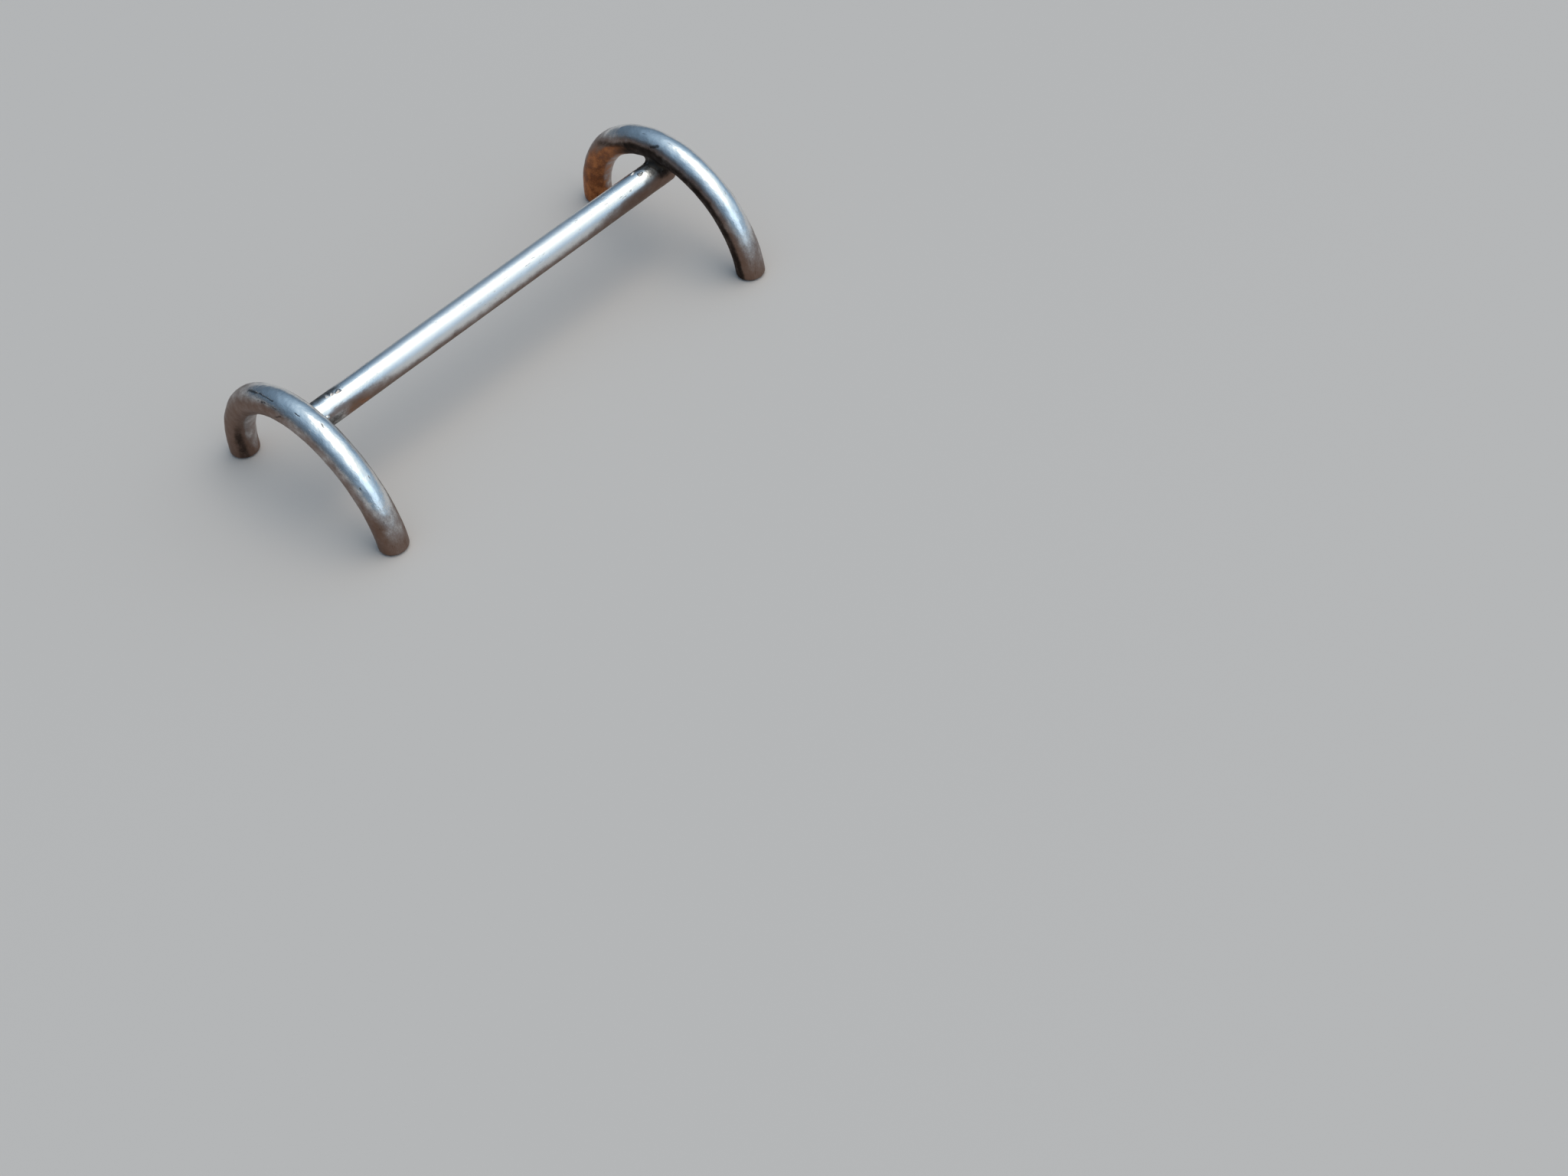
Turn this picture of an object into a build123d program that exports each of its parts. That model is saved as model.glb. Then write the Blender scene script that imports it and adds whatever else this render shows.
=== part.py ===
from build123d import *
import os

# A wire knife rest: a straight round bar tucked under the crowns of two arched wire feet and soldered there.
# Millimetres. X runs along the bar, Y across the feet, Z up. The origin is on the table under the middle.

# Driving dimensions
WIRE_DIAMETER = 5.8  # round wire that both feet are bent from
BEND_RADIUS = 21.6  # centre line of each foot's half circle
FOOT_ROUNDING = 0.8  # rounded rim round the flat end of each leg
ARCH_SPACING = 94.4  # between the middle planes of the two feet
BAR_DIAMETER = 5.8  # round bar that the blades lie on
SADDLE_DEPTH = 0.4  # how far each crown sits down into the bar
LEFT_END_SETBACK = 0.6  # how far the bar's left end stops short of the left foot's middle plane
RIGHT_END_REACH = 1.4  # how far the bar's right end runs past the right foot's middle plane
BAR_END_ROUNDING = 0.8  # rounded rim of each bar end
SOLDER_DIAMETER = 4.8  # bead of solder that fills the corners round a saddle
SOLDER_INSET = 1.1  # bead centre, inwards from the foot's middle plane
SOLDER_DROP = 0.4  # bead centre, below the crown's underside

# Sizes that follow
wire_radius = WIRE_DIAMETER / 2
bar_radius = BAR_DIAMETER / 2
crown_underside = BEND_RADIUS - wire_radius
bar_axis_height = crown_underside + SADDLE_DEPTH - bar_radius
bar_length = ARCH_SPACING - LEFT_END_SETBACK + RIGHT_END_REACH
bar_middle = (LEFT_END_SETBACK + RIGHT_END_REACH) / 2


def make_arch(x):
    """A half circle of round wire across the bar at x, with two flat ends that stand on the table."""
    section = Pos(0, BEND_RADIUS) * Circle(wire_radius)
    arch = revolve(section, axis=Axis.X, revolution_arc=180)
    rims = arch.edges().group_by(Axis.Z)[0]
    return Pos(x, 0, 0) * fillet(rims, FOOT_ROUNDING)


def make_bar(arches):
    """A straight round bar with rounded ends, and a saddle where each crown sits in it."""
    bar = Cylinder(bar_radius, bar_length, rotation=(0, 90, 0))
    bar = fillet(bar.edges().filter_by(GeomType.CIRCLE), BAR_END_ROUNDING)
    return Pos(bar_middle, 0, bar_axis_height) * bar - arches


def make_solder(x, bar, arch):
    """The bead of solder round a saddle, with the bar and the crown that it wets taken out of it."""
    bead = Pos(x, 0, crown_underside - SOLDER_DROP) * Sphere(SOLDER_DIAMETER / 2)
    return bead - bar - arch


def make_rest():
    """All pieces of the rest, by name."""
    arch_x = ARCH_SPACING / 2
    solder_x = arch_x - SOLDER_INSET
    left_arch = make_arch(-arch_x)
    right_arch = make_arch(arch_x)
    bar = make_bar([left_arch, right_arch])
    return {
        "rest_bar": bar,
        "left_arch": left_arch,
        "right_arch": right_arch,
        "left_solder_joint": make_solder(-solder_x, bar, left_arch),
        "right_solder_joint": make_solder(solder_x, bar, right_arch),
    }


os.makedirs("parts", exist_ok=True)
for name, piece in make_rest().items():
    export_step(piece, f"parts/{name}.step")
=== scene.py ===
import logging
import math
from contextlib import contextmanager
from dataclasses import dataclass, field
from enum import Enum, IntEnum
from typing import Any, Callable, Iterator

import bpy
import numpy as np
from mathutils import Matrix, Vector


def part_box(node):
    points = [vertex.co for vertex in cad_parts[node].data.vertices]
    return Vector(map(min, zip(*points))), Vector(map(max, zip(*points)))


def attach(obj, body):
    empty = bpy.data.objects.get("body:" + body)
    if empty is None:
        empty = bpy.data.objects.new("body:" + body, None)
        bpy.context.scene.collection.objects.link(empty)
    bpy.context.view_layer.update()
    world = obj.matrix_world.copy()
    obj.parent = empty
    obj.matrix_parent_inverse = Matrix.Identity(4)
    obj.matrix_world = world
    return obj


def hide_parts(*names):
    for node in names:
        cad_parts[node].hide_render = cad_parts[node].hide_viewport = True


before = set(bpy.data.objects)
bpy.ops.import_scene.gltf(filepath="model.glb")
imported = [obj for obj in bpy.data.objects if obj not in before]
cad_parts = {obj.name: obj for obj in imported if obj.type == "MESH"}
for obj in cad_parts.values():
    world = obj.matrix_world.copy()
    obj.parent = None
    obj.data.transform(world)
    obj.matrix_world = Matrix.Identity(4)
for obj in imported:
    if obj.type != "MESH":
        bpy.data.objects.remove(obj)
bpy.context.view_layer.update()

MM = 0.001

# Points round a wire, rings in the rim at its end, and insets in the flat inside that rim
AROUND = 72
RIM_RINGS = 6
FLAT_INSETS = (0.3, 0.5)

# Points nearer than this are one, and faces that meet at a smaller angle are one surface
SAME_POINT = 0.001 * MM
SMOOTH_ANGLE = math.radians(50)

# What the finishes read from a piece's points
UNBENT = "unbent"
# how strong use and painted shade are at each point
WEAR_AND_SHADE = "wear"
SATIN = "satin"

Colour = tuple[float, float, float]
Triple = tuple[float, float, float]
Socket = bpy.types.NodeSocket
log = logging.getLogger("knife_rest")


class End(Enum):
    """The two ends of the bar, by the sign of X."""

    LEFT = -1
    RIGHT = 1

    @property
    def word(self) -> str:
        """The end's name in the names of its pieces."""
        return self.name.lower()


class Finish(Enum):
    """The record's material slots."""

    PLATE = "silver_plate"
    SOLDER = "solder"


class Wear(IntEnum):
    """What use and heat leave on the wires, together with painted shade, in the order in which a point
    keeps it.
    """

    # tarnish, with painted shade on the sides and undersides
    TARNISH_AND_SHADE = 0
    BARE = 1
    # soot from the solder's heat, with painted shade under the crowns and in corners and crooks
    SOOT_AND_SHADE = 2


# Shared modelling steps


def only(piece: bpy.types.Object) -> None:
    """Leaves one piece selected and active.

    Args:
        piece: The object that the next operator acts on.
    """
    bpy.ops.object.select_all(action="DESELECT")
    piece.select_set(True)
    bpy.context.view_layer.objects.active = piece


def added(name: str) -> bpy.types.Object:
    """Names the object that the last operator added and puts its place into its mesh.

    Args:
        name: The object's new name.

    Returns:
        The object, at the origin and unturned.
    """
    piece = bpy.context.view_layer.objects.active
    piece.name = piece.data.name = name
    only(piece)
    bpy.ops.object.transform_apply(location=True, rotation=True, scale=True)
    return piece


def copied(piece: bpy.types.Object, name: str) -> bpy.types.Object:
    """Copies a piece with a mesh of its own.

    Args:
        piece: The object to copy.
        name: The copy's name.

    Returns:
        The copy.
    """
    only(piece)
    bpy.ops.object.duplicate()
    return added(name)


def joined(pieces: list[bpy.types.Object]) -> bpy.types.Object:
    """Joins pieces into the first of them.

    Args:
        pieces: The objects to join.

    Returns:
        The first object, which now holds all the meshes.
    """
    only(pieces[0])
    for piece in pieces[1:]:
        piece.select_set(True)
    bpy.ops.object.join()
    return pieces[0]


@contextmanager
def editing(piece: bpy.types.Object, kind: str = "VERT") -> Iterator[None]:
    """Opens a piece in edit mode and closes it again.

    Args:
        piece: The mesh object to edit.
        kind: What is selected there: VERT, EDGE or FACE.
    """
    only(piece)
    bpy.context.tool_settings.mesh_select_mode = [kind == each for each in ("VERT", "EDGE", "FACE")]
    bpy.ops.object.mode_set(mode="EDIT")
    yield
    bpy.ops.object.mode_set(mode="OBJECT")


def pick_faces(piece: bpy.types.Object, test: Callable[[bpy.types.MeshPolygon], bool]) -> None:
    """Selects the faces that pass a test and nothing else.

    Args:
        piece: The mesh object, in object mode.
        test: Says whether a face is wanted.
    """
    mesh = piece.data
    for group in (mesh.vertices, mesh.edges):
        group.foreach_set("select", [False] * len(group))
    mesh.polygons.foreach_set("select", [test(face) for face in mesh.polygons])


def pick_edges(piece: bpy.types.Object, test: Callable[[Vector, Vector], bool]) -> None:
    """Selects the edges whose two end points pass a test and nothing else.

    Args:
        piece: The mesh object, in object mode.
        test: Says whether an edge between two points is wanted.
    """
    mesh = piece.data
    points = mesh.vertices
    chosen = [test(points[edge.vertices[0]].co, points[edge.vertices[1]].co) for edge in mesh.edges]
    points.foreach_set("select", [False] * len(points))
    mesh.polygons.foreach_set("select", [False] * len(mesh.polygons))
    mesh.edges.foreach_set("select", chosen)


def apply(piece: bpy.types.Object, kind: str, **settings: Any) -> None:
    """Adds a modifier to a piece and applies it.

    Args:
        piece: The mesh object.
        kind: The modifier's type.
        settings: The modifier's settings.
    """
    modifier = piece.modifiers.new(kind.lower(), kind)
    for name, value in settings.items():
        setattr(modifier, name, value)
    only(piece)
    bpy.ops.object.modifier_apply(modifier=modifier.name)


def round_off(piece: bpy.types.Object, centre: Vector, way: Vector, radius: float, rounding: float) -> None:
    """Draws the end face of a wire out into a rounded rim and a flat, ring by ring.

    Args:
        piece: The wire, which ends one rounding short of its full length in one face.
        centre: The middle of that face.
        way: The unit direction along an axis in which the wire ends.
        radius: The wire's radius.
        rounding: The rim's radius.
    """
    reached, wide = 0.0, radius
    pick_faces(piece, lambda face: len(face.vertices) == AROUND and (face.center - centre).length < radius)
    with editing(piece, "FACE"):
        bpy.ops.transform.resize(value=[1 - abs(part) for part in way], center_override=centre)
        for ring in range(1, RIM_RINGS + 1):
            turn = math.pi / 2 * ring / RIM_RINGS
            depth = rounding * math.sin(turn)
            width = radius - rounding * (1 - math.cos(turn))
            bpy.ops.mesh.extrude_region_move(TRANSFORM_OT_translate={"value": way * (depth - reached)})
            bpy.ops.transform.resize(value=(width / wide,) * 3, center_override=centre + way * depth)
            reached, wide = depth, width
        for share in FLAT_INSETS:
            bpy.ops.mesh.inset(thickness=wide * share, depth=0.0)
            wide *= 1 - share
        bpy.ops.mesh.poke()


def tidy_normals(piece: bpy.types.Object) -> None:
    """Merges doubled points and turns all faces outwards.

    Args:
        piece: A closed mesh.
    """
    with editing(piece):
        bpy.ops.mesh.select_all(action="SELECT")
        bpy.ops.mesh.remove_doubles(threshold=SAME_POINT)
        bpy.ops.mesh.normals_make_consistent(inside=False)
        bpy.ops.mesh.select_all(action="DESELECT")


def drop_crumbs(piece: bpy.types.Object, least: int) -> None:
    """Deletes the crumbs that a cut has left.

    Args:
        piece: The mesh object.
        least: How many points a part needs to stay.
    """
    mesh = piece.data
    ends = np.empty(len(mesh.edges) * 2, np.int32)
    mesh.edges.foreach_get("vertices", ends)
    first, second = ends.reshape(-1, 2).T
    part, before = np.arange(len(mesh.vertices)), None
    while before is None or (part != before).any():
        before = part.copy()
        np.minimum.at(part, first, before[second])
        np.minimum.at(part, second, before[first])
        part = part[part]
    pick_faces(piece, lambda face: False)
    mesh.vertices.foreach_set("select", np.bincount(part, minlength=len(part))[part] < least)
    with editing(piece):
        bpy.ops.mesh.delete(type="VERT")


def work_by_hand(piece: bpy.types.Object, depth: float, size: float, spared: np.ndarray) -> None:
    """Makes a surface a little uneven, as drawing, bending and years of polish leave a wire.

    Args:
        piece: The wire or droplet.
        depth: How far the surface wanders, from its lowest to its highest.
        size: How long one wave is.
        spared: For each point 0 where it may move and 1 where it stays.
    """
    group = piece.vertex_groups.new(name="worked")
    group.add(range(len(spared)), 1.0, "REPLACE")
    for index in np.flatnonzero(spared > 0):
        group.add([int(index)], 1.0 - float(spared[index]), "REPLACE")
    waves = bpy.data.textures.new("hand_worked_wire", "CLOUDS")
    waves.noise_scale = size
    waves.noise_depth = 2
    apply(
        piece, "DISPLACE", texture=waves, texture_coords="LOCAL", strength=depth, mid_level=0.5,
        vertex_group=group.name,
    )
    piece.vertex_groups.clear()


def rows_of(piece: bpy.types.Object, what: str) -> np.ndarray:
    """Reads one vector of each of a piece's points.

    Args:
        piece: The mesh object.
        what: The vector's name: co, the place in metres, or normal.

    Returns:
        Rows of x, y, z.
    """
    flat = np.empty(len(piece.data.vertices) * 3, np.float32)
    piece.data.vertices.foreach_get(what, flat)
    return flat.reshape(-1, 3).astype(float)


def ramp(value: np.ndarray, start: float, end: float) -> np.ndarray:
    """A smooth step from 0 at start to 1 at end.

    Args:
        value: What is measured.
        start: Where the step begins.
        end: Where it is complete, above or below start.

    Returns:
        The step's height at each value.
    """
    t = np.clip((value - start) / (end - start), 0.0, 1.0)
    return t * t * (3 - 2 * t)


def over(*layers: np.ndarray) -> np.ndarray:
    """Lays layers of use and of painted shade over each other, so that together they don't pass 1.

    Args:
        layers: How strong each layer is at each point, from 0 to 1.

    Returns:
        How strong they are together.
    """
    clean = np.ones_like(layers[0])
    for layer in layers:
        clean = clean * (1 - layer)
    return 1 - clean


def store(piece: bpy.types.Object, unbent: np.ndarray, wear: dict[Wear, np.ndarray]) -> None:
    """Keeps what the finishes read on a piece's points.

    Args:
        piece: The mesh object.
        unbent: Where each point lies on the straight wire, in millimetres.
        wear: How strong each layer of use and of painted shade is at each point, from 0 to 1.
    """
    layers = np.stack([wear[kind] for kind in Wear], 1)
    for name, rows in ((UNBENT, unbent), (WEAR_AND_SHADE, np.clip(layers, 0, 1))):
        kept = piece.data.attributes.new(name, "FLOAT_VECTOR", "POINT")
        kept.data.foreach_set("vector", rows.astype(np.float32).ravel())


def hand_in(piece: bpy.types.Object, node: str, material: bpy.types.Material) -> None:
    """Smooths and dresses a finished piece and ties it to the node that it stands for.

    Args:
        piece: The finished mesh object.
        node: The CAD node that it replaces.
        material: What it wears.
    """
    only(piece)
    bpy.ops.object.shade_smooth_by_angle(angle=SMOOTH_ANGLE)
    piece.data.materials.clear()
    piece.data.materials.append(material)
    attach(piece, "root")
    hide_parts(node)
    log.info("%s: %d faces", piece.name, len(piece.data.polygons))


# Sub-assemblies


@dataclass(frozen=True)
class Spots:
    """Where the points of a bent wire lie on it."""

    at: np.ndarray  # in millimetres
    facing: np.ndarray  # how far each faces out of the bend, from -1 to 1
    inner: np.ndarray  # how far each lies towards the bar, in millimetres


@dataclass
class ArchedFoot:
    """A half circle of round wire that stands across one end of the bar."""

    end: End
    rounding: float = 0.8 * MM  # rim of each leg's flat end
    steps: int = 180  # rings from leg to leg
    unevenness: float = 0.10 * MM
    wave: float = 5.0 * MM  # length of one wave of the unevenness
    dents: float = 0.10 * MM
    dent: float = 2.0 * MM  # length of one dent
    pattern_shift: float = 0.0  # millimetres that set its finish apart
    back_from: tuple[float, float] = (3.0, 16.0)  # where the back leg's tarnish and painted shade start and are full, along Y
    rubbed_bare: float = 0.3
    # share of the scorching and painted shade round the seam, under the crown and along the inner side
    smoke_and_shade: float = 0.6
    # painted shade in the crook of the back leg
    painted_crook_shade: float = 0.7
    paleness: float = 0.42  # share of the tarnish and painted shade taken out of the hollow of a leg, where a paler reflection is painted
    covered: float = 0.3  # share of the bare copper that it lacks
    hollow_slope: float = 0.022  # how the hollow widens with each millimetre of height
    seam_in: float = 2.0  # the soldered corner, in millimetres towards the bar
    seam_up: float = 0.4  # and above the crown's underside
    seam_stretch: float = 1.6  # how much longer the scorched and painted-dark place is along the seam
    x: float = field(init=False)  # its middle plane
    radius: float = field(init=False)  # of the wire
    bend: float = field(init=False)  # radius of the wire's middle line
    piece: bpy.types.Object = field(init=False)

    def __post_init__(self) -> None:
        """Takes the foot's sizes from its CAD node."""
        low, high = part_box(f"{self.end.word}_arch")
        self.x = (low.x + high.x) / 2
        self.radius = (high.x - low.x) / 2
        self.bend = high.z - self.radius

    @property
    def underside(self) -> float:
        """How high the crown's underside stands."""
        return self.bend - self.radius

    def from_seam(self, at: np.ndarray) -> np.ndarray:
        """How far points lie from the soldered corner under the crown.

        Args:
            at: The points, in millimetres.

        Returns:
            Their distances in millimetres, shortened along the seam.
        """
        inner = -self.end.value * (at[:, 0] - self.x / MM)
        above = at[:, 2] - self.underside / MM
        along = at[:, 1] / self.seam_stretch
        return np.sqrt((inner - self.seam_in) ** 2 + along**2 + (above - self.seam_up) ** 2)

    def build(self) -> None:
        """Spins a disc of wire over the crown, rounds off its two feet and works its surface."""
        lift = math.asin(self.rounding / self.bend)
        out = self.bend * math.cos(lift)
        bpy.ops.object.select_all(action="DESELECT")
        bpy.ops.mesh.primitive_circle_add(
            vertices=AROUND, radius=self.radius, fill_type="NGON", location=(self.x, out, self.rounding),
            rotation=(lift, 0, 0),
        )
        self.piece = added(f"{self.end.word}_arch_wire")
        with editing(self.piece):
            bpy.ops.mesh.select_all(action="SELECT")
            bpy.ops.mesh.spin(
                steps=self.steps, angle=math.pi - 2 * lift, center=(self.x, 0, 0), axis=(-1, 0, 0),
            )
        for y in (out, -out):
            centre = Vector((self.x, y, self.rounding))
            round_off(self.piece, centre, Vector((0, 0, -1)), self.radius, self.rounding)
        tidy_normals(self.piece)
        spared = ramp(rows_of(self.piece, "co")[:, 2], 4 * self.rounding, self.rounding)
        work_by_hand(self.piece, self.unevenness, self.wave, spared)
        work_by_hand(self.piece, self.dents, self.dent, spared)

    def dress(self, material: bpy.types.Material) -> None:
        """Marks where the wire is worn, where shade is painted and where the hollows are painted paler, and
        hands it in.

        Args:
            material: The worn plate.
        """
        at = rows_of(self.piece, "co") / MM
        bend = self.bend / MM
        turn = np.arctan2(at[:, 2], at[:, 1])
        out = np.hypot(at[:, 1], at[:, 2]) - bend
        across = at[:, 0] - self.x / MM
        unbent = np.stack([turn * bend + self.pattern_shift, across, out], 1)
        spots = Spots(at, facing=out / (self.radius / MM), inner=-self.end.value * across)
        # a paler reflection painted into the hollow of each leg
        pale = self.pale(spots)
        wear = {
            Wear.TARNISH_AND_SHADE: self.tarnish_and_shade(spots) * (1 - self.paleness * pale),
            Wear.BARE: self.bare(spots) * (1 - self.covered * pale),
            Wear.SOOT_AND_SHADE: self.soot_and_shade(spots) * (1 - pale),
        }
        store(self.piece, unbent, wear)
        hand_in(self.piece, f"{self.end.word}_arch", material)

    def hollow_edge(self, spots: Spots) -> np.ndarray:
        """Where the hollow of the bend begins, as a share of the wire's radius out of the bend.

        Args:
            spots: The wire's points.

        Returns:
            The edge beside each point, farther out on the crown than at the foot.
        """
        return -1.0 + self.hollow_slope * spots.at[:, 2]

    def pale(self, spots: Spots) -> np.ndarray:
        """The hollow of each leg, which faces the other leg and where a paler reflection is painted.

        Args:
            spots: The wire's points.

        Returns:
            How much paler each point is painted, from 0 to 1.
        """
        x, y, _ = spots.at.T
        right = np.maximum(x - self.x / MM, 0)
        beyond = spots.facing - 0.12 * right - self.hollow_edge(spots)
        return ramp(beyond, -0.02, -0.12) * ramp(np.abs(y), 7.0, 13.0)

    def tarnish_and_shade(self, spots: Spots) -> np.ndarray:
        """Tarnishing together with painted shade: darker on the sides and legs, towards the bottom and on
        the back leg.

        Args:
            spots: The wire's points.

        Returns:
            How tarnished and shaded each point is, from 0 to 1.
        """
        _, y, z = spots.at.T
        # tarnishing and painted shade on the sides and legs
        turned_in = ramp(spots.facing, 0.95, 0.4)
        inner_side = 0.75 * turned_in * ramp(spots.inner, 0.0, 1.5)
        turned = spots.facing + 0.1 * ramp(y, 0.0, 10.0)
        outer_side = (0.65 + 0.25 * ramp(y, -4.0, 6.0)) * ramp(turned, 1.0, 0.25)
        sides = np.maximum(outer_side, inner_side)
        # painted shade: darker towards the bottom
        low = 0.55 * ramp(z, 13.5, 6.0) + 0.25 * ramp(z, 6.0, 1.5)
        legs = 0.75 * ramp(z, 13.0, 5.0) * turned_in
        # tarnishing and painted shade on the back leg
        back = 0.65 * ramp(y, *self.back_from)
        return over(sides, low, legs, back)

    def bare(self, spots: Spots) -> np.ndarray:
        """Copper that shows on the back leg and under the back of the crown, mostly towards the bar.

        Args:
            spots: The wire's points.

        Returns:
            How bare of plate each point is, from 0 to 1.
        """
        _, y, z = spots.at.T
        leg = ramp(y, *self.back_from) * ramp(z, 21.0, 12.0) * ramp(spots.facing, 0.9, 0.35)
        roof = 0.9 * ramp(spots.facing, 0.35, -0.05) * ramp(y, 0.0, 6.0)
        kept = 0.55 * ramp(spots.inner, 0.5, -2.0)
        return np.maximum(leg, roof) * (1 - kept) * self.rubbed_bare

    def soot_and_shade(self, spots: Spots) -> np.ndarray:
        """Scorched flux and painted shade round the soldered corner, painted shade under the crown,
        darkening along the inner side and painted shade in the back crook.

        Args:
            spots: The wire's points.

        Returns:
            How sooty and shaded each point is, from 0 to 1.
        """
        _, y, z = spots.at.T
        facing, inner = spots.facing, spots.inner
        # painted shade under the crown
        hood = ramp(facing, 0.1, -0.6) * ramp(np.abs(y), 16.0, 7.0)
        side = ramp(facing, 0.6, 0.1) * ramp(inner, 0.0, 1.5) * ramp(y, 13.0, 5.0)
        from_trail = np.abs(facing - 0.12 - 0.4 * ramp(y, 10.0, 16.0))
        trail = ramp(from_trail, 0.3, 0.05) * ramp(y, 18.0, 13.0) * ramp(inner, 0.5, 1.5)
        # scorched flux and painted shade in the soldered corner
        burnt_and_shaded = ramp(self.from_seam(spots.at), 5.0, 0.8)
        burn_and_shade = over(0.95 * burnt_and_shaded, 0.45 * hood, 0.8 * side, 0.6 * trail)
        beside = facing - self.hollow_edge(spots)
        # painted shade in the crook of the back leg
        crook = ramp(beside, -0.1, 0.08) * ramp(beside, 0.75, 0.15) * ramp(inner, -0.2, -1.4)
        painted_crook_shade = self.painted_crook_shade * crook * ramp(y, 8.0, 16.0) * (0.35 + 0.65 * ramp(z, 12.0, 6.0))
        return over(burn_and_shade * self.smoke_and_shade, painted_crook_shade)


@dataclass
class RestBar:
    """The straight round bar that blades lie on, tucked under both crowns."""

    rounding: float = 0.8 * MM  # rim of each end
    cuts: tuple[int, int] = (99, 1)  # how often the length is cut, and then each stretch between
    unevenness: float = 0.05 * MM
    wave: float = 7.0 * MM  # length of one wave of the unevenness
    lumps: float = 0.12 * MM  # that the heat has left near the joints
    lump: float = 1.6 * MM  # length of one lump
    lumps_from: tuple[float, float] = (13.0 * MM, 5.0 * MM)  # from an end, where lumps start and are full
    pattern_shift: float = 600.0  # millimetres that set its finish apart
    ends: dict[End, float] = field(init=False)  # where it ends along X
    radius: float = field(init=False)
    height: float = field(init=False)  # of its middle line
    piece: bpy.types.Object = field(init=False)

    def __post_init__(self) -> None:
        """Takes the bar's sizes from its CAD node."""
        low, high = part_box("rest_bar")
        self.ends = {End.LEFT: low.x, End.RIGHT: high.x}
        self.radius = (high.y - low.y) / 2
        self.height = low.z + self.radius

    def build(self) -> None:
        """Divides a cylinder along its length, rounds off its ends and works its surface."""
        left, right = (self.ends[end] - end.value * self.rounding for end in End)
        bpy.ops.object.select_all(action="DESELECT")
        bpy.ops.mesh.primitive_cylinder_add(
            vertices=AROUND, radius=self.radius, depth=right - left,
            location=((left + right) / 2, 0, self.height), rotation=(0, math.pi / 2, 0),
        )
        self.piece = added("rest_bar_wire")
        for cuts in self.cuts:
            pick_edges(self.piece, lambda a, b: abs(a.x - b.x) > SAME_POINT)
            with editing(self.piece, "EDGE"):
                bpy.ops.mesh.subdivide(number_cuts=cuts)
        for end, x in ((End.LEFT, left), (End.RIGHT, right)):
            centre = Vector((x, 0, self.height))
            round_off(self.piece, centre, Vector((end.value, 0, 0)), self.radius, self.rounding)
        tidy_normals(self.piece)
        along = np.abs(rows_of(self.piece, "co")[:, 0])
        work_by_hand(self.piece, self.unevenness, self.wave, np.zeros(len(along)))
        start, full = self.lumps_from
        work_by_hand(self.piece, self.lumps, self.lump, ramp(along, right - full, right - start))

    def cut_saddles(self, feet: list[ArchedFoot]) -> None:
        """Cuts the seats of both crowns into the bar's ends.

        Args:
            feet: The finished feet.
        """
        for foot in feet:
            apply(self.piece, "BOOLEAN", operation="DIFFERENCE", solver="EXACT", object=foot.piece)

    def dress(self, material: bpy.types.Material, feet: list[ArchedFoot]) -> None:
        """Marks where the bar is worn and where shade is painted, and hands it in.

        Args:
            material: The worn plate.
            feet: The finished feet.
        """
        at = rows_of(self.piece, "co") / MM
        normal = rows_of(self.piece, "normal")
        unbent = at + [self.pattern_shift, 0, -self.height / MM]
        crown_edge = (abs(feet[0].x) - feet[0].radius) / MM
        left = at[:, 0] < 0
        to_crown = crown_edge - np.abs(at[:, 0])
        front, up = -normal[:, 1], normal[:, 2]
        # painted shadow on the front and underside of the left end, near the crown
        painted_shadow = ramp(to_crown, 9.0, 4.0) * ramp(to_crown, -0.5, 1.0) * left
        painted_shadow *= ramp(up, 0.45, 0.0) * ramp(front, 0.0, 0.6)
        # soot and painted shade in the crevice at each crown
        ring = ramp(to_crown, 1.6, -0.6) * ramp(up, -0.3, 0.5) * np.where(left, 0.4, 0.85)
        # a stain and painted shadow on the top and back of the left end
        stain_and_shadow = 0.8 * ramp(to_crown, 11.0, 5.0) * ramp(front, 0.3, -0.15) * ramp(up, -0.3, 0.5) * left
        copper = 0.4 * ramp(to_crown, 2.0, 6.0) * ramp(to_crown, 17.0, 11.0) * ramp(up, 0.3, -0.1)
        wear = {
            Wear.TARNISH_AND_SHADE: self.tarnish_and_shade(to_crown, up) * (1 - 0.7 * painted_shadow),
            Wear.BARE: copper * left,
            Wear.SOOT_AND_SHADE: np.maximum(np.maximum(ring, stain_and_shadow), 0.72 * painted_shadow),
        }
        store(self.piece, unbent, wear)
        satin = self.piece.data.attributes.new(SATIN, "FLOAT", "POINT")
        satin.data.foreach_set("value", ramp(to_crown, 10.0, 24.0).astype(np.float32))
        hand_in(self.piece, "rest_bar", material)

    def tarnish_and_shade(self, to_crown: np.ndarray, up: np.ndarray) -> np.ndarray:
        """Tarnishing together with painted shade, on the underside, the flanks and towards the crowns.

        Args:
            to_crown: How far each point lies from the nearer crown, in millimetres.
            up: How far each faces up, from -1 to 1.

        Returns:
            How tarnished and shaded each point is, from 0 to 1.
        """
        # painted shade: darker on the underside
        under = ramp(up, 0.6, -0.6)
        near = ramp(to_crown, 19.0, 3.0) * ramp(up, 0.6, -0.1)
        flank = ramp(to_crown, 24.0, 5.0) * ramp(up, 0.8, 0.3)
        close = ramp(to_crown, 3.0, -1.0)
        return over(0.8 * under, 0.65 * near, 0.7 * flank, 0.4 * close)


@dataclass(frozen=True)
class Droplet:
    """A droplet of solder on the bar: how far from the crown's middle and at what angle round the bar."""

    along: float
    around: float
    radius: float
    spread: float = 1.0  # how much longer it is along the bar


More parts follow.
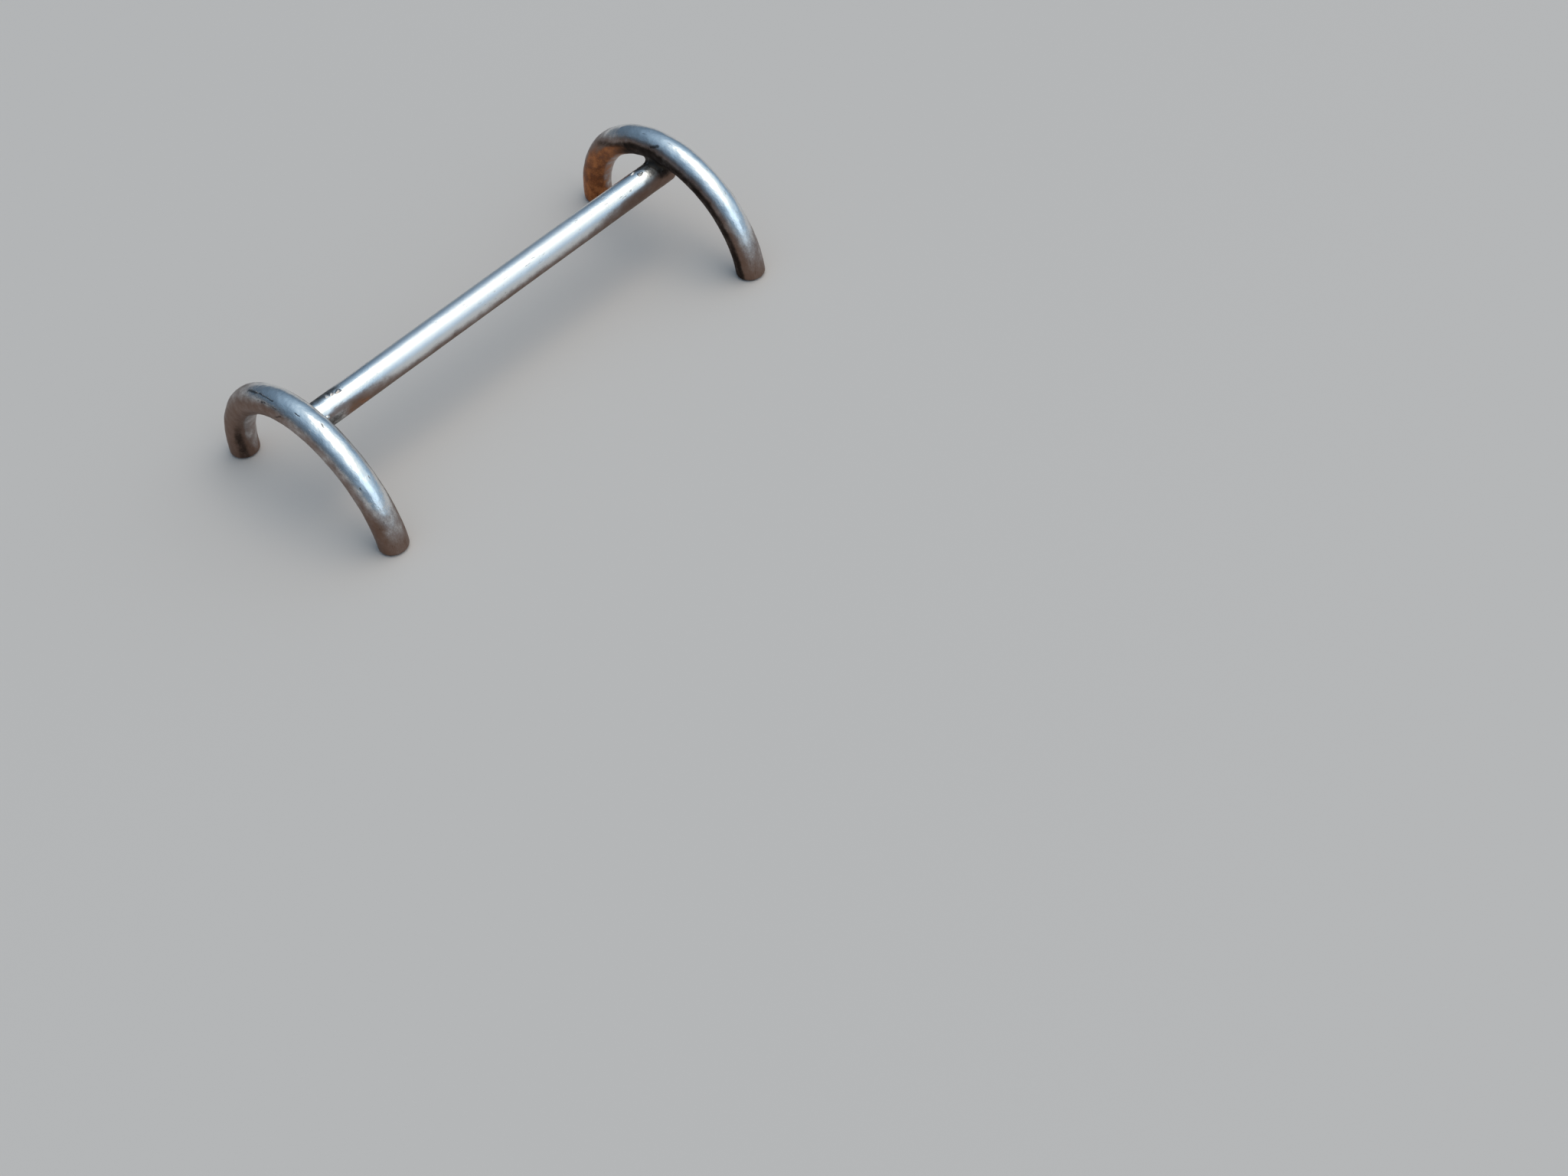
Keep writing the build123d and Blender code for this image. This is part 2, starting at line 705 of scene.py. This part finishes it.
@dataclass
class SolderJoint:
    """The run of solder in the corner between the bar and one crown."""

    end: End
    bar: RestBar
    foot: ArchedFoot
    inset: float  # the bead's middle, from the foot's middle plane towards the bar
    drop: float = 0.4 * MM  # the bead's middle, below the crown's underside
    along_bar: float = 10.0 * MM  # how much of the bar the bead melts with
    along_crown: float = 8.0 * MM  # how much of the crown, to each side
    grain: float = 0.2 * MM  # size of the melted run's faces
    settling: int = 110  # rounds of smoothing
    shrinking: float = 0.2  # how far the run draws in as it cools, as a share of the grain
    crumb: int = 60  # loose parts with fewer points are crumbs
    sunk: float = 0.72  # how deep a droplet sits in the bar, as a share of its radius
    lumpy: float = 0.5  # how uneven a droplet is, as a share of its radius
    pattern_shift: float = 900.0  # millimetres that set its finish apart
    droplets: tuple[Droplet, ...] = ()
    bead: float = field(init=False)  # its radius
    piece: bpy.types.Object = field(init=False)

    def __post_init__(self) -> None:
        """Takes the bead's size from its CAD node."""
        low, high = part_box(f"{self.end.word}_solder_joint")
        self.bead = (high.y - low.y) / 2

    def build(self) -> None:
        """Melts a bead into the corner of bar and crown and takes both out of it again."""
        bpy.ops.object.select_all(action="DESELECT")
        inner = self.foot.x - self.end.value * self.inset
        bpy.ops.mesh.primitive_ico_sphere_add(
            subdivisions=4, radius=self.bead, location=(inner, 0, self.foot.underside - self.drop),
        )
        bead = added(f"{self.end.word}_solder_run")
        bar_part = copied(self.bar.piece, "bar_part")
        crown_part = copied(self.foot.piece, "crown_part")
        self.piece = joined([bead, bar_part, crown_part])
        self.trim()
        self.melt()
        for other in (self.bar.piece, self.foot.piece):
            apply(self.piece, "BOOLEAN", operation="DIFFERENCE", solver="EXACT", object=other)
        drop_crumbs(self.piece, self.crumb)
        self.piece = joined([self.piece, *(self.spatter(drop) for drop in self.droplets)])

    def trim(self) -> None:
        """Cuts away all that lies far from the joint."""
        way = self.end.value
        planes = [
            ((self.foot.x - way * self.along_bar, 0, 0), (-way, 0, 0)),
            ((0, self.along_crown, 0), (0, 1, 0)),
            ((0, -self.along_crown, 0), (0, -1, 0)),
        ]
        for place, outwards in planes:
            with editing(self.piece):
                bpy.ops.mesh.select_all(action="SELECT")
                bpy.ops.mesh.bisect(plane_co=place, plane_no=outwards, clear_outer=True, use_fill=True)

    def spatter(self, drop: Droplet) -> bpy.types.Object:
        """Sets one droplet of solder on the bar, spread out along it.

        Args:
            drop: Where it lies and how large it is.

        Returns:
            The droplet, cut to the bar.
        """
        turn = math.radians(drop.around)
        upright = Vector((0, math.cos(turn), math.sin(turn)))
        x = self.foot.x - self.end.value * drop.along
        place = Vector((x, 0, self.bar.height)) + upright * (self.bar.radius - self.sunk * drop.radius)
        bpy.ops.object.select_all(action="DESELECT")
        bpy.ops.mesh.primitive_ico_sphere_add(subdivisions=4, radius=drop.radius, location=place)
        bead = added("solder_droplet")
        with editing(bead):
            bpy.ops.mesh.select_all(action="SELECT")
            bpy.ops.transform.resize(value=(drop.spread, 1, 1), center_override=place)
        work_by_hand(bead, self.lumpy * drop.radius, drop.radius, np.zeros(len(bead.data.vertices)))
        apply(bead, "BOOLEAN", operation="DIFFERENCE", solver="EXACT", object=self.bar.piece)
        return bead

    def melt(self) -> None:
        """Fuses what is joined and lets it settle into a smooth run."""
        apply(self.piece, "REMESH", mode="VOXEL", voxel_size=self.grain)
        apply(self.piece, "SMOOTH", factor=0.5, iterations=self.settling)
        apply(self.piece, "DISPLACE", strength=-self.shrinking * self.grain, mid_level=0.0)

    def dress(self, material: bpy.types.Material) -> None:
        """Marks where the run is tarnished, sooty and painted with shade, and hands it in.

        Args:
            material: The solder's finish.
        """
        at = rows_of(self.piece, "co") / MM
        unbent = at + [self.pattern_shift, 0, 0]
        outer = self.end.value * (at[:, 0] - self.foot.x / MM)
        # painted shade: darker on the undersides
        below = ramp(rows_of(self.piece, "normal")[:, 2], 0.3, -0.5)
        away = self.foot.from_seam(at)
        turned_away = ramp(outer, -1.5, 0.0)
        wear = {
            Wear.TARNISH_AND_SHADE: over(0.95 * turned_away, 0.6 * below, 0.5 * ramp(away, 3.5, 5.0)),
            Wear.BARE: np.zeros(len(at)),
            # soot and painted shade near the soldered corner
            Wear.SOOT_AND_SHADE: ramp(away, 5.0, 1.5) * self.foot.smoke_and_shade,
        }
        store(self.piece, unbent, wear)
        hand_in(self.piece, f"{self.end.word}_solder_joint", material)


# Finishes


@dataclass(frozen=True)
class Scar:
    """A dark scratch in the plate, between two places on the unbent wire, in millimetres."""

    start: Triple
    end: Triple
    width: float
    ragged: float = 0.8  # how far it strays
    core: float = 0.3  # share of the width that is darkest


class Bench:
    """Lays out and wires the nodes of one material."""

    def __init__(self, name: str) -> None:
        """Starts a material.

        Args:
            name: The material's name.
        """
        self.material = bpy.data.materials.new(name)
        self.material.use_nodes = True
        self.nodes = self.material.node_tree.nodes
        self.shader = self.nodes["Principled BSDF"]

    def place(
        self, kind: str, sockets: dict[int | str, Any], output: int | str = 0, **settings: Any,
    ) -> Socket:
        """Adds a node.

        Args:
            kind: The node's type.
            sockets: What goes into its inputs: a value, or a socket to link.
            output: Which of its outputs is wanted, by name or number.
            settings: The node's settings.

        Returns:
            That output.
        """
        node = self.nodes.new(kind)
        for name, value in settings.items():
            setattr(node, name, value)
        for name, value in sockets.items():
            self.feed(node, name, value)
        return node.outputs[output]

    def feed(self, node: bpy.types.Node, name: int | str, value: Any) -> None:
        """Sets or links one input of a node.

        Args:
            node: The node.
            name: The input's name or number.
            value: A value, or a socket to link.
        """
        if isinstance(value, Socket):
            self.material.node_tree.links.new(value, node.inputs[name])
        else:
            node.inputs[name].default_value = value

    def attribute(self, name: str) -> Socket:
        """The vector that a piece keeps under a name."""
        return self.place("ShaderNodeAttribute", {}, output="Vector", attribute_name=name)

    def measure(self, name: str) -> Socket:
        """The number that a piece keeps under a name."""
        return self.place("ShaderNodeAttribute", {}, output="Fac", attribute_name=name)

    def part(self, vector: Socket, axis: int) -> Socket:
        """One part of a vector."""
        return self.place("ShaderNodeSeparateXYZ", {0: vector}, output=axis)

    def noise(self, at: Socket, per_mm: Triple, detail: float = 2.0) -> Socket:
        """Uneven grain along, across and out of the wire.

        Args:
            at: Where on the wire.
            per_mm: How many grains fit in a millimetre each way.
            detail: How many finer layers lie on the grain.

        Returns:
            The grain, from 0 to 1.
        """
        scaled = self.vector("MULTIPLY", at, per_mm)
        return self.place("ShaderNodeTexNoise", {"Vector": scaled, "Scale": 1.0, "Detail": detail})

    def sum(self, first: Socket | float, second: Socket | float, share: float = 1.0) -> Socket:
        """Adds a share of one number to another.

        Args:
            first: The number added to.
            second: The number added.
            share: How much of it is added.

        Returns:
            The sum.
        """
        return self.place("ShaderNodeMath", {0: second, 1: share, 2: first}, operation="MULTIPLY_ADD")

    def total(self, start: float, *parts: tuple[Socket, float]) -> Socket:
        """Adds shares of several numbers to a first one.

        Args:
            start: The number added to.
            parts: The numbers added, each with its share.

        Returns:
            The sum.
        """
        result = start
        for part, share in parts:
            result = self.sum(result, part, share)
        return result

    def times(self, first: Socket | float, second: Socket | float) -> Socket:
        """Multiplies two numbers."""
        return self.place("ShaderNodeMath", {0: first, 1: second}, operation="MULTIPLY")

    def step(self, value: Socket, start: float, end: float, low: float = 0.0, high: float = 1.0) -> Socket:
        """A smooth step from one number to another.

        Args:
            value: What is measured.
            start: Where the step begins.
            end: Where it is complete.
            low: The number before the step.
            high: The number after it.

        Returns:
            The step's height.
        """
        sockets = {0: value, 1: start, 2: end, 3: low, 4: high}
        return self.place("ShaderNodeMapRange", sockets, interpolation_type="SMOOTHSTEP")

    def blend(self, share: Socket, first: Socket | Colour, second: Socket | Colour) -> Socket:
        """Mixes two colours.

        Args:
            share: How much of the second shows.
            first: The first colour.
            second: The second colour.

        Returns:
            The mixture.
        """
        ends = [each if isinstance(each, Socket) else (*each, 1) for each in (first, second)]
        return self.place("ShaderNodeMix", {0: share, 6: ends[0], 7: ends[1]}, output=2, data_type="RGBA")

    def vector(
        self, operation: str, *parts: Socket | Triple, output: str = "Vector", **named: float | Socket,
    ) -> Socket:
        """Works on vectors.

        Args:
            operation: What is done.
            parts: The vectors that go in, in order.
            output: Vector, or Value for a number.
            named: Other inputs, by name.

        Returns:
            The result.
        """
        sockets = {**dict(enumerate(parts)), **named}
        return self.place("ShaderNodeVectorMath", sockets, output=output, operation=operation)

    def scar(self, at: Socket, wander: Socket, scar: Scar) -> Socket:
        """One scratch.

        Args:
            at: Where on the wire.
            wander: What makes the scratch ragged.
            scar: The scratch.

        Returns:
            1 in the scratch and 0 beside it.
        """
        length = Vector(scar.end) - Vector(scar.start)
        jitter = self.vector("SUBTRACT", wander, (0.5, 0.5, 0.5))
        ragged = self.vector("MULTIPLY_ADD", jitter, (scar.ragged,) * 3, at)
        beyond = self.vector("SUBTRACT", ragged, scar.start)
        share = self.vector("DOT_PRODUCT", beyond, length / length.length_squared, output="Value")
        reach = self.place("ShaderNodeClamp", {0: share})
        foot = self.vector("SCALE", length, Scale=reach)
        away = self.vector("DISTANCE", beyond, foot, output="Value")
        return self.step(away, scar.core * scar.width, scar.width, 1.0, 0.0)

    def bump(self, height: Socket, depth: float, below: Socket | None = None) -> Socket:
        """Turns a height into small relief.

        Args:
            height: The height, from 0 to 1.
            depth: How deep the relief is.
            below: The relief that this one lies on.

        Returns:
            The bent normal.
        """
        sockets = {"Height": height, "Distance": depth, "Strength": 1.0}
        if below is not None:
            sockets["Normal"] = below
        return self.place("ShaderNodeBump", sockets)


@dataclass(frozen=True)
class WornAndShadedPlate:
    """Polished silver plate, scratched and tarnished, in places worn to the copper alloy, with shade
    painted into its colour.
    """

    name: str
    gloss: float  # roughness where it is polished
    mottle: float  # depth of its soft unevenness
    patchy: float  # how ragged the tarnish is
    drawn: float = 0.007 * MM  # depth of the lines that drawing leaves along the wire
    rubbed: float = 0.004 * MM  # depth of those that polish leaves across it
    grain: float = 0.012 * MM  # depth of its finest unevenness
    marked: float = 0.035 * MM  # depth of a scratch
    shade: float = 0.75  # how black a scratch is
    silver: Colour = (0.88, 0.87, 0.85)
    # light tarnish and mild painted shade
    film_and_shade: Colour = (0.43, 0.395, 0.385)
    # full tarnish and painted shade
    tarnish_and_shade: Colour = (0.21, 0.125, 0.088)
    copper: Colour = (0.49, 0.19, 0.068)
    bronzed: Colour = (0.21, 0.072, 0.027)
    # soot and painted shade, also the black of a scratch
    soot_and_shade: Colour = (0.032, 0.021, 0.016)
    scars: tuple[Scar, ...] = (
        Scar((24.8, -1.4, 2.5), (27.4, -1.5, 2.45), 0.42),
        Scar((27.4, -1.5, 2.45), (32.2, -1.7, 2.35), 0.24),
        Scar((28.4, -2.35, 1.7), (33.6, -2.3, 1.75), 0.16),
        Scar((53.8, -1.8, 2.3), (54.1, -1.8, 2.3), 0.2),
        Scar((42.1, 0.3, 2.9), (42.5, 0.2, 2.9), 0.22),
        Scar((37.4, -1.35, 2.55), (38.4, -1.25, 2.6), 0.18),
        Scar((33.2, -2.9, 0.0), (35.1, -2.75, 1.0), 0.24),
        Scar((53.0, 0.7, 2.8), (53.4, 0.65, 2.8), 0.18),
        Scar((334.6, -2.4, 1.6), (335.9, -2.0, 2.1), 0.42),
    )

    def build(self) -> bpy.types.Material:
        """Makes the material.

        Returns:
            The finished material.
        """
        bench = Bench(self.name)
        at = bench.attribute(UNBENT)
        wear = bench.attribute(WEAR_AND_SHADE)
        blotch = bench.noise(at, (0.20, 0.28, 0.28), 4)
        cloud = bench.noise(at, (0.65, 0.85, 0.85), 4)
        grain = bench.noise(at, (3.5, 4.5, 4.5), 2)
        drawn = bench.noise(at, (0.14, 6.0, 6.0), 3)
        rubbed = bench.noise(at, (6.0, 0.6, 0.6), 2)
        ragged = bench.total(-0.7, (blotch, 0.5), (cloud, 0.55), (grain, 0.35))
        # tarnish with painted shade
        dull = bench.step(bench.sum(bench.part(wear, Wear.TARNISH_AND_SHADE), ragged, self.patchy), 0.0, 1.05)
        bare = bench.step(bench.sum(bench.part(wear, Wear.BARE), ragged, 0.9), 0.25, 0.95)
        # soot with painted shade
        black = bench.step(bench.sum(bench.part(wear, Wear.SOOT_AND_SHADE), ragged, 1.0), 0.15, 1.0)
        marks = self.marks(bench, at, blotch)
        colour = bench.blend(bench.step(dull, 0.0, 0.65), self.silver, self.film_and_shade)
        colour = bench.blend(bench.step(dull, 0.2, 1.1), colour, self.tarnish_and_shade)
        copper = bench.blend(bench.step(ragged, -0.14, 0.14), self.bronzed, self.copper)
        colour = bench.blend(bare, colour, copper)
        colour = bench.blend(black, colour, self.soot_and_shade)
        colour = bench.blend(bench.times(marks, self.shade), colour, self.soot_and_shade)
        satin = bench.measure(SATIN)
        rough = bench.total(
            self.gloss, (dull, 0.25), (cloud, 0.16), (drawn, 0.06), (black, 0.25), (satin, 0.14),
        )
        relief = bench.bump(cloud, self.mottle)
        relief = bench.bump(drawn, self.drawn, relief)
        relief = bench.bump(rubbed, self.rubbed, relief)
        relief = bench.bump(grain, self.grain, relief)
        relief = bench.bump(bench.times(marks, -1.0), self.marked, relief)
        bench.feed(bench.shader, "Base Color", colour)
        bench.feed(bench.shader, "Metallic", 1.0)
        bench.feed(bench.shader, "Roughness", rough)
        bench.feed(bench.shader, "Normal", relief)
        return bench.material

    def marks(self, bench: Bench, at: Socket, blotch: Socket) -> Socket:
        """Scuffs along the wire, sparse pits and the named scars.

        Args:
            bench: The material's nodes.
            at: Where on the wire.
            blotch: Where the wire has been handled more.

        Returns:
            How deep a mark is, from 0 to 1.
        """
        scuffs = bench.step(bench.noise(at, (0.8, 3.6, 3.6), 1), 0.66, 0.74)
        marks = bench.times(scuffs, bench.step(blotch, 0.48, 0.62, 0.0, 0.6))
        cells = {"Vector": bench.vector("MULTIPLY", at, (0.6, 0.6, 0.6))}
        pit = bench.step(bench.place("ShaderNodeTexVoronoi", cells), 0.06, 0.15, 1.0, 0.0)
        chosen = bench.part(bench.place("ShaderNodeTexVoronoi", cells, output="Color"), 0)
        marks = bench.sum(marks, bench.times(pit, bench.step(chosen, 0.90, 0.92)))
        wander = bench.place("ShaderNodeTexNoise", {"Vector": at, "Scale": 0.9}, output="Color")
        for scar in self.scars:
            marks = bench.sum(marks, bench.scar(at, wander, scar))
        return bench.place("ShaderNodeClamp", {0: marks})


@dataclass(frozen=True)
class SolderSkin:
    """Solder, plated over, dull and lumpy, with flux scorched into its corners, and shade painted into
    those corners and onto its undersides.
    """

    name: str = "plated_solder"
    bright: Colour = (0.66, 0.65, 0.63)
    # tarnish and painted shade
    tarnish_and_shade: Colour = (0.24, 0.175, 0.145)
    # scorched flux and painted shade
    burnt_and_shaded: Colour = (0.05, 0.042, 0.036)
    gloss: float = 0.28  # roughness where it isn't darkened by scorching and painted shade
    grain: float = 0.012 * MM  # depth of its finest unevenness
    lumps: float = 0.06 * MM  # depth of its lumps

    def build(self) -> bpy.types.Material:
        """Makes the material.

        Returns:
            The finished material.
        """
        bench = Bench(self.name)
        at = bench.attribute(UNBENT)
        wear = bench.attribute(WEAR_AND_SHADE)
        lumps = bench.noise(at, (0.9, 0.9, 0.9), 3)
        grain = bench.noise(at, (4.0, 4.0, 4.0), 2)
        uneven = bench.sum(-0.5, lumps)
        # tarnish with painted shade, then soot with painted shade in the corners
        dull = bench.step(bench.sum(bench.part(wear, Wear.TARNISH_AND_SHADE), uneven, 1.2), 0.05, 0.95)
        black = bench.step(bench.sum(bench.part(wear, Wear.SOOT_AND_SHADE), uneven, 1.4), 0.2, 0.9)
        colour = bench.blend(dull, self.bright, self.tarnish_and_shade)
        bench.feed(bench.shader, "Base Color", bench.blend(black, colour, self.burnt_and_shaded))
        bench.feed(bench.shader, "Metallic", 1.0)
        bench.feed(bench.shader, "Roughness", bench.sum(self.gloss, black, 0.25))
        relief = bench.bump(grain, self.grain, bench.bump(lumps, self.lumps))
        bench.feed(bench.shader, "Normal", relief)
        return bench.material


# Stage


@dataclass(frozen=True)
class Lamp:
    """A broad soft light, by the direction it comes from and the angles that it fills."""

    name: str
    towards: Vector
    wide: float
    high: float
    radiance: float
    colour: Colour
    upright: Vector = Vector((0, 0, 1))  # the direction that its height follows
    away: float = 4.0  # metres from the middle of the stage

    def hang(self) -> None:
        """Hangs the light and turns it to the middle of the stage."""
        lamp = bpy.data.lights.new(self.name, "AREA")
        lamp.shape = "ELLIPSE"
        halves = (math.radians(angle / 2) for angle in (self.wide, self.high))
        lamp.size, lamp.size_y = (2 * self.away * math.tan(half) for half in halves)
        lamp.color = self.colour
        lamp.energy = self.radiance * math.pi * math.pi * lamp.size * lamp.size_y / 4
        hung = bpy.data.objects.new(self.name, lamp)
        bpy.context.scene.collection.objects.link(hung)
        out = self.towards.normalized()
        side = self.upright.cross(out).normalized()
        hung.matrix_world = Matrix((side, out.cross(side), out)).transposed().to_4x4()
        hung.location = out * self.away


@dataclass(frozen=True)
class Studio:
    """A plain pale floor under a broad soft light, with a tall window in front and a cool surround."""

    key: Lamp = Lamp(
        name="key", towards=Vector((0.20, -0.28, 0.94)), wide=40, high=70, radiance=1.0,
        colour=(1.0, 0.94, 0.86), upright=Vector((0.37, 0.90, 0.2)),
    )
    window: Lamp = Lamp(
        name="window", towards=Vector((-0.04, -0.94, 0.34)), wide=38, high=44, radiance=0.65,
        colour=(0.72, 0.88, 1.0),
    )
    floor_colour: Colour = (0.68, 0.60, 0.545)
    floor_roughness: float = 0.9
    floor_shine: float = 0.2
    floor_size: float = 40.0
    floor_gap: float = 0.02 * MM  # how far it lies below the feet
    brightest: Vector = Vector((0.272, -0.324, 0.906))  # the middle of the surround
    surround: tuple[tuple[float, Colour], ...] = (  # degrees from that middle, and the colour there
        (0, (0.92, 0.98, 1.0)),
        (28, (0.85, 0.96, 1.0)),
        (42, (0.50, 0.68, 0.86)),
        (58, (0.25, 0.37, 0.51)),
        (78, (0.12, 0.185, 0.265)),
        (100, (0.075, 0.105, 0.145)),
        (125, (0.075, 0.078, 0.088)),
    )

    def build(self) -> None:
        """Lays the floor and lights it."""
        bpy.ops.object.select_all(action="DESELECT")
        bpy.ops.mesh.primitive_plane_add(size=self.floor_size, location=(0, 0, -self.floor_gap))
        floor = added("floor")
        pale = Bench("pale_floor")
        pale.feed(pale.shader, "Base Color", (*self.floor_colour, 1))
        pale.feed(pale.shader, "Roughness", self.floor_roughness)
        pale.feed(pale.shader, "Specular IOR Level", self.floor_shine)
        floor.data.materials.append(pale.material)
        self.key.hang()
        self.window.hang()
        self.paint_surround()

    def paint_surround(self) -> None:
        """Lets the surround fade with the angle from the light."""
        world = bpy.data.worlds.new("surround")
        bpy.context.scene.world = world
        world.use_nodes = True
        nodes, links = world.node_tree.nodes, world.node_tree.links
        look = nodes.new("ShaderNodeTexCoord").outputs["Generated"]
        facing = nodes.new("ShaderNodeVectorMath")
        facing.operation = "DOT_PRODUCT"
        facing.inputs[1].default_value = self.brightest.normalized()
        links.new(look, facing.inputs[0])
        spread = nodes.new("ShaderNodeMapRange")
        spread.inputs["From Min"].default_value = -1.0
        links.new(facing.outputs["Value"], spread.inputs["Value"])
        fade = nodes.new("ShaderNodeValToRGB")
        stops = fade.color_ramp.elements
        while len(stops) < len(self.surround):
            stops.new(0.5)
        for stop, (angle, colour) in zip(stops, reversed(self.surround)):
            stop.position = (1 + math.cos(math.radians(angle))) / 2
            stop.color = (*colour, 1)
        links.new(spread.outputs[0], fade.inputs[0])
        links.new(fade.outputs[0], nodes["Background"].inputs["Color"])


@dataclass(frozen=True)
class PhotoCamera:
    """The camera that took the photograph, fitted to the outlines of the wires."""

    place: Vector = Vector((-216.54, -320.63, 317.17)) * MM
    azimuth: float = -40.966
    elevation: float = 45.533
    roll: float = -8.822
    focal_px: float = 3351.3
    width_px: float = 2048.0
    sensor_mm: float = 36.0
    nearest: float = 0.01

    def build(self) -> None:
        """Puts the camera in place and makes it the scene's own."""
        turn, rise, lean = (math.radians(a) for a in (self.azimuth, self.elevation, self.roll))
        back = Vector((math.sin(turn) * math.cos(rise), -math.cos(turn) * math.cos(rise), math.sin(rise)))
        level = Vector((math.cos(turn), math.sin(turn), 0))
        above = back.cross(level)
        right = level * math.cos(lean) + above * math.sin(lean)
        lens = bpy.data.cameras.new("photo_camera")
        lens.sensor_fit = "HORIZONTAL"
        lens.sensor_width = self.sensor_mm
        lens.lens = self.focal_px * self.sensor_mm / self.width_px
        lens.clip_start = self.nearest
        camera = bpy.data.objects.new("photo_camera", lens)
        bpy.context.scene.collection.objects.link(camera)
        camera.matrix_world = Matrix((right, back.cross(right), back)).transposed().to_4x4()
        camera.location = self.place
        bpy.context.scene.camera = camera


LEFT_SPATTER = (
    Droplet(along=7.9 * MM, around=90, radius=0.68 * MM),
    Droplet(along=8.9 * MM, around=95, radius=0.58 * MM, spread=1.2),
    Droplet(along=10.1 * MM, around=102, radius=0.68 * MM, spread=1.6),
    Droplet(along=5.4 * MM, around=162, radius=0.66 * MM, spread=1.2),
)
RIGHT_SPATTER = (
    Droplet(along=6.2 * MM, around=102, radius=0.66 * MM, spread=1.5),
    Droplet(along=7.1 * MM, around=74, radius=0.60 * MM, spread=1.9),
)


def main() -> None:
    """Builds the rest's pieces, the studio and the camera."""
    logging.basicConfig(level=logging.INFO, format="%(name)s %(message)s")
    bpy.context.scene.view_settings.view_transform = "Standard"
    plate = WornAndShadedPlate("worn_and_shaded_silver_plate", gloss=0.13, mottle=0.09 * MM, patchy=0.8).build()
    rubbed = WornAndShadedPlate("rubbed_and_shaded_silver_plate", gloss=0.13, mottle=0.03 * MM, patchy=0.6).build()
    solder = SolderSkin().build()
    feet = [
        ArchedFoot(End.LEFT),
        ArchedFoot(
            End.RIGHT, pattern_shift=300.0, back_from=(10.0, 17.0), rubbed_bare=1.0, smoke_and_shade=1.0, painted_crook_shade=0.0,
        ),
    ]
    bar = RestBar()
    bar.build()
    for foot in feet:
        foot.build()
    joints = [
        SolderJoint(End.LEFT, bar, feet[0], inset=1.7 * MM, droplets=LEFT_SPATTER),
        SolderJoint(End.RIGHT, bar, feet[1], inset=0.9 * MM, droplets=RIGHT_SPATTER),
    ]
    for joint in joints:
        joint.build()
    bar.cut_saddles(feet)
    for foot in feet:
        foot.dress(plate)
    bar.dress(rubbed, feet)
    for joint in joints:
        joint.dress(solder)
    Studio().build()
    PhotoCamera().build()


if __name__ == "__main__":
    main()
